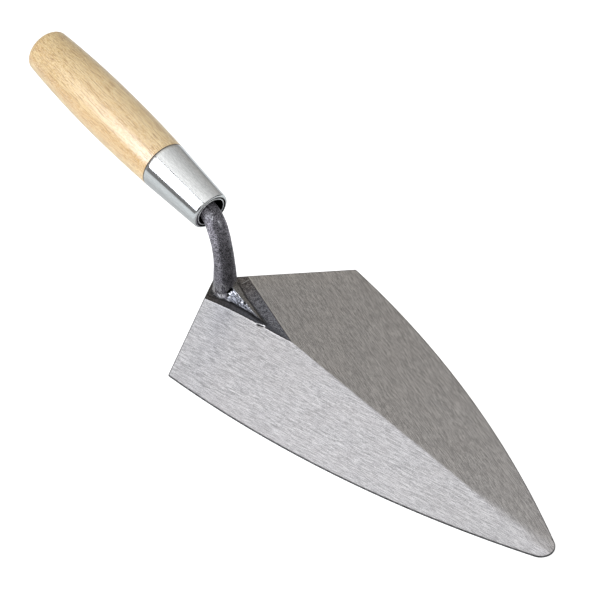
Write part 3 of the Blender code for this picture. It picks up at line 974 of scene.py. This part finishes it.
def forge(mesh):
    """Gives the skin its hammered, scaled surface, and says where it is worn and brown, where light and shade
    are painted on it, and where a highlight is painted along the crest.
    """
    values = {name: [] for name in ("bare", "crest", "wing", "brown", "painted_shade", "tone", "flake")}
    moves = []
    for vertex in mesh.vertices:
        point, normal = vertex.co.copy(), vertex.normal.copy()
        flank, line = on_foot(point)
        low = smooth_step(PLATEAU + 0.00080, PLATEAU + 0.00020, point.z)
        depth = 0.00005 * rough(point, 0.0026) + 0.00003 * rough(point, 0.0010)
        hammer = noise.voronoi(Vector((point.x * 0.6, point.y, point.z)) / 0.0010)[0][0]
        depth += max(flank, 0.4 * line) * 0.00018 * (hammer - 0.35)
        dent = strongest(DENTS, point)
        depth -= dent
        moves.append(normal * depth * (1 - 0.8 * low))
        side = normal.dot(PAINTED_SHADE_SIDE)
        values["bare"].append(max(flank, 0.8 * line))
        values["flake"].append(min(1.0, strongest(FLAKES, point)))
        # The crest's line carries a painted highlight.
        values["crest"].append(line)
        values["wing"].append(on_wing(point))
        right = smooth_step(-0.05, 0.2, normal.y) * smooth_step(0.012, 0.006, point.z)
        rear = smooth_step(0.008, 0.004, point.z) * smooth_step(0.012, 0.007, point.x)
        values["brown"].append(max(right, 0.7 * rear))
        # Painted shade: black in the dents and along the foot's base, where it meets the blade.
        values["painted_shade"].append(max(smooth_step(0.25, 0.6, dent / 0.0008), 0.85 * low))
        # Painted light and shade: the neck's tone is lighter on the side towards the key light, on a thin
        # edge of its far side and high up, and darker elsewhere on its far side.
        neck = smooth_step(0.006, 0.012, point.z)
        painted_light = smooth_step(-0.05, -0.45, side) + 0.4 * smooth_step(0.70, 0.90, side)
        high = smooth_step(0.028, 0.040, point.z)
        values["tone"].append(0.35 + neck * (painted_light - 0.35) + high * (0.45 + 0.7 * painted_light))
    for vertex, move in zip(mesh.vertices, moves):
        vertex.co += move
    for name, row in values.items():
        set_point_value(mesh, name, row)


def make_shank(heel_x, material):
    """The foot and the neck joined under one skin, smoothed as a forging is."""
    shape = bmesh.new()
    add_loft(shape, foot_rings())
    add_loft(shape, neck_rings())
    bmesh.ops.recalc_face_normals(shape, faces=shape.faces)
    draft = finish_mesh("shank_draft", shape, [])
    remesh = draft.modifiers.new("skin", "REMESH")
    remesh.mode = "VOXEL"
    remesh.voxel_size = SKIN
    smooth = draft.modifiers.new("forged", "SMOOTH")
    smooth.factor, smooth.iterations = 0.5, 5
    graph = bpy.context.evaluated_depsgraph_get()
    mesh = bpy.data.meshes.new_from_object(draft.evaluated_get(graph))
    bpy.data.objects.remove(draft)
    mesh.name = "shank_forged"
    forge(mesh)
    mesh.transform(Matrix.Translation((heel_x, 0, 0)))
    mesh.materials.clear()
    mesh.materials.append(material)
    mesh.shade_smooth()
    return placed("shank_forged", mesh)


# Ferrule and handle, turned about their own Z, which runs from the mouth to the butt


def make_turned(name, profile, closed, material, heel_x, wobble=0.0, painted_shade_rows=()):
    """A profile of (radius, depth) turned about Z, and put on the handle's axis."""
    shape = bmesh.new()
    # The "inside" attribute marks the rows painted black as shade.
    painted_shade_rows_layer = shape.verts.layers.float.new("inside")
    rings = []
    for index, (radius, depth) in enumerate(profile):
        if radius < 1e-6:
            rings.append([shape.verts.new((0, 0, depth))])
            continue
        ring = []
        for step in range(TURNED_SIDES):
            turn = 2 * math.pi * step / TURNED_SIDES
            point = Vector((math.cos(turn), math.sin(turn), 0)) * radius + Vector((0, 0, depth))
            swell = 1 - wobble * (1 + rough(point, 0.03)) / max(radius, 0.004)
            ring.append(shape.verts.new((point.x * swell, point.y * swell, depth)))
            ring[-1][painted_shade_rows_layer] = float(index in painted_shade_rows)
        rings.append(ring)
    pairs = list(zip(rings, rings[1:]))
    if closed:
        pairs.append((rings[-1], rings[0]))
    for low, high in pairs:
        for i in range(TURNED_SIDES):
            after = (i + 1) % TURNED_SIDES
            corners = [low[i % len(low)], low[after % len(low)], high[after % len(high)], high[i % len(high)]]
            unique = [c for n, c in enumerate(corners) if c not in corners[:n]]
            shape.faces.new(unique)
    bmesh.ops.recalc_face_normals(shape, faces=shape.faces)
    turn = Matrix.Rotation(HANDLE_LIFT - math.pi / 2, 4, "Y")
    shape.transform(Matrix.Translation(MOUTH + Vector((heel_x, 0, 0))) @ turn)
    return finish_mesh(name, shape, [material], angle=38)


def arc(centre, size, first, last, steps):
    """Points of (radius, depth) on an arc, with turns in degrees from the outward direction to the mouth."""
    points = []
    for step in range(steps + 1):
        turn = math.radians(first + (last - first) * step / steps)
        points.append((centre[0] + size * math.cos(turn), centre[1] - size * math.sin(turn)))
    return points


def ferrule_radius(depth):
    return FERRULE_MOUTH_RADIUS + (JOINT_RADIUS - FERRULE_MOUTH_RADIUS) * depth / FERRULE_LENGTH


def make_ferrule(heel_x, material):
    """A cone whose mouth curls in to a round lip, a fine groove and a bright inner bead, with painted shade
    at the joint's end, in the groove and inside.
    """
    end_round = 0.00018
    profile = arc((JOINT_RADIUS - end_round, FERRULE_LENGTH - end_round), end_round, -90, 0, 4)
    for step in range(1, 16):
        depth = FERRULE_LENGTH - (FERRULE_LENGTH - FERRULE_LIP) * step / 16
        profile.append((ferrule_radius(depth), depth))
    lip_radius = ferrule_radius(FERRULE_LIP) - FERRULE_LIP
    painted_shade_rows = {0, 1, 2}  # the joint's shadow
    profile += arc((lip_radius, FERRULE_LIP), FERRULE_LIP, 0, 88, 12)
    bead = 0.00038
    bead_radius = FERRULE_HOLE_RADIUS + bead
    groove = bead_radius + bead
    # Painted shade in the groove inside the lip.
    painted_shade_rows |= set(range(len(profile), len(profile) + 3))
    profile += [(lip_radius - 0.00004, 0.0002), (lip_radius - 0.0001, 0.0006), (groove, 0.0006)]
    profile += arc((bead_radius, bead), bead, 20, 180, 10)
    # Painted shade inside the ferrule.
    painted_shade_rows |= {len(profile), len(profile) + 1}
    inside = FERRULE_WALL + 0.0012
    profile.append((ferrule_radius(inside) - FERRULE_WALL, inside))
    profile.append((JOINT_RADIUS - FERRULE_WALL, FERRULE_LENGTH - 0.0002))
    return make_turned("ferrule_plated", profile, True, material, heel_x, 0.00002, painted_shade_rows)


def barrel_radius(part):
    """The barrel's radius: a cubic through four sizes, from the joint, at 0, to the dome's start, at 1."""
    sizes = (JOINT_RADIUS, THIRD_RADIUS, TWO_THIRDS_RADIUS, BUTT_RADIUS)
    radius = 0.0
    for i, size in enumerate(sizes):
        weight = 1.0
        for j in range(4):
            if j != i:
                weight *= (part - j / 3) / (i / 3 - j / 3)
        radius += size * weight
    return radius


def tang_reach(depth):
    """How far the tang's corners are from its axis."""
    part = (depth - BEND_END_DEPTH) / (TANG_END_DEPTH - BEND_END_DEPTH)
    thick = NECK_RADII[-1][1]
    half = thick + (TANG_HALF - thick) * part
    return half * math.sqrt(2) / 2 ** (1 / (2.0 + 6.0 * part))


def make_handle(heel_x, material):
    """The dome, the barrel with its eased shoulder, the tenon in the ferrule and the bore for the tang."""
    barrel_start = FERRULE_LENGTH + GAP
    barrel_end = HANDLE_LENGTH - BUTT_DOME - 0.00004
    shoulder = 0.00022
    profile = []
    dome_steps, barrel_steps = 20, 60
    for step in range(dome_steps):
        turn = math.pi / 2 * step / dome_steps
        radius = BUTT_RADIUS * math.sin(turn) ** (2 / DOME_POWER)
        profile.append((radius, barrel_end + BUTT_DOME * math.cos(turn) ** (2 / DOME_POWER)))
    for step in range(barrel_steps + 1):
        part = 1 - step / barrel_steps
        depth = barrel_start + shoulder + (barrel_end - barrel_start - shoulder) * part
        profile.append((barrel_radius(part), depth))
    profile.append((JOINT_RADIUS - shoulder, barrel_start))
    for depth in (barrel_start, TENON_START):
        profile.append((ferrule_radius(depth) - FERRULE_WALL - GAP, depth))
    bore_steps = 8
    for step in range(bore_steps + 1):
        depth = TENON_START + (TANG_END_DEPTH - TENON_START) * step / bore_steps
        profile.append((tang_reach(depth) + GAP, depth + (GAP if step == bore_steps else 0)))
    profile.append((0.0, TANG_END_DEPTH + GAP))
    return make_turned("handle_turned", profile, False, material, heel_x, wobble=0.00006)


# Studio


def make_camera():
    a, e = CAMERA_AZIMUTH, CAMERA_ELEVATION
    back = Vector((math.sin(a) * math.cos(e), -math.cos(a) * math.cos(e), math.sin(e)))
    data = bpy.data.cameras.new("camera")
    data.lens = CAMERA_LENS
    data.sensor_width = 36.0
    data.clip_start, data.clip_end = 0.05, 60.0
    camera = placed("camera", data)
    camera.location = CAMERA_AIM + back * CAMERA_DISTANCE
    camera.rotation_mode = "QUATERNION"
    camera.rotation_quaternion = (-back).to_track_quat("-Z", "Y") @ Quaternion((0, 0, 1), CAMERA_ROLL)
    bpy.context.scene.camera = camera


def make_floor():
    """A white sheet that glows a little, as paper on a light table does, so that shadows stay faint."""
    shape = bmesh.new()
    corners = ((-1, -1), (1, -1), (1, 1), (-1, 1))
    shape.faces.new([shape.verts.new((x * FLOOR_HALF, y * FLOOR_HALF, FLOOR_Z)) for x, y in corners])
    made, tree = new_material("floor")
    fibre = noise_value(tree, object_place(tree), scale=400.0)
    finished(
        made,
        Base_Color=mixed(tree, fibre, grey(0.80), grey(0.82)),
        Roughness=0.9,
        Emission_Color=grey(1.0),
        Emission_Strength=FLOOR_GLOW,
        Specular_IOR_Level=0.0,
    )
    floor = finish_mesh("floor", shape, [made])
    floor.visible_glossy = False  # what mirrors see below the horizon comes from the world instead


def make_world():
    """A white table below, a dim room with a dark card and a doorway, and a pale ceiling with a seam."""
    world = bpy.data.worlds.new("studio")
    world.use_nodes = True
    tree = world.node_tree
    tree.nodes.clear()
    direction = node(tree, "TexCoord").outputs["Generated"]
    x, y, z = axes(tree, direction)
    table = ramp(tree, z, *TABLE_Z)
    ceiling = maths(tree, "MULTIPLY_ADD", y, -0.56, 0.97)  # brighter towards -Y
    overhead = product(tree, ramp(tree, x, *CEILING_X), ramp(tree, z, *CEILING_Z))
    overhead = product(tree, overhead, ramp(tree, y, *CEILING_Y))
    lift = maths(tree, "ARCTAN2", z, product(tree, y, -1.0))
    away = maths(tree, "ABSOLUTE", maths(tree, "SUBTRACT", lift, SEAM_LIFT))
    ceiling = product(tree, ceiling, ramp(tree, away, *SEAM_WIDTHS))
    dim = mixed_value(tree, ramp(tree, y, -0.75, -0.45), *DIM_LEVELS)
    card = product(tree, ramp(tree, x, *CARD_X), ramp(tree, y, *CARD_Y))
    dim = mixed_value(tree, card, dim, CARD_LEVEL)
    doorway = product(tree, ramp(tree, x, *DOORWAY_X), ramp(tree, z, *DOORWAY_Z))
    dim = mixed_value(tree, doorway, dim, DOORWAY_LEVEL)
    overhead = product(tree, overhead, maths(tree, "SUBTRACT", 1.0, doorway))
    level = mixed_value(tree, overhead, dim, ceiling)
    room = node(tree, "CombineColor", {0: level, 1: level, 2: level}).outputs[0]
    warm = product(tree, ramp(tree, x, -0.30, -0.55), ramp(tree, z, 0.0, 0.3))
    room = mixed(tree, warm, room, grey(1.0, 1.08, 1.0, 0.905), blend="MULTIPLY")
    colour = mixed(tree, table, room, grey(TABLE_LEVEL, 0.955, 1.0, 1.025))
    below = ramp(tree, z, -0.50, -0.75)
    colour = mixed(tree, below, colour, grey(BELOW_LEVEL, 0.97, 1.0, 1.02))
    background = node(tree, "Background", {"Color": colour, "Strength": 1.0})
    output = node(tree, "OutputWorld")
    tree.links.new(background.outputs[0], output.inputs[0])
    bpy.context.scene.world = world


def make_key():
    """A soft box that faces the tool."""
    data = bpy.data.lights.new("key", "AREA")
    data.shape = "RECTANGLE"
    data.size, data.size_y = KEY_SIZE
    data.energy = KEY_RADIANCE * math.pi * KEY_SIZE[0] * KEY_SIZE[1]
    data.color = KEY_COLOUR
    lamp = placed("key", data)
    away = KEY_DIRECTION.normalized()
    lamp.location = KEY_AIM + away * KEY_DISTANCE
    lamp.rotation_mode = "QUATERNION"
    lamp.rotation_quaternion = away.to_track_quat("Z", "Y")
    lamp.visible_camera = False


def stand_for(piece, node_name):
    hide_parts(node_name)
    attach(piece, "root")


def main():
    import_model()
    heel_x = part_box("blade")[0].x
    scene = bpy.context.scene
    scene.view_settings.view_transform = "Standard"
    blade_materials = [ground_steel(heel_x), plate_scale(heel_x), cut_edge()]
    stand_for(make_blade(heel_x, blade_materials), "blade")
    stand_for(make_shank(heel_x, forged_steel(heel_x)), "shank")
    stand_for(make_ferrule(heel_x, plated_steel(heel_x)), "ferrule")
    stand_for(make_handle(heel_x, lacquered_wood(heel_x)), "handle")
    make_floor()
    make_world()
    make_key()
    make_camera()


main()
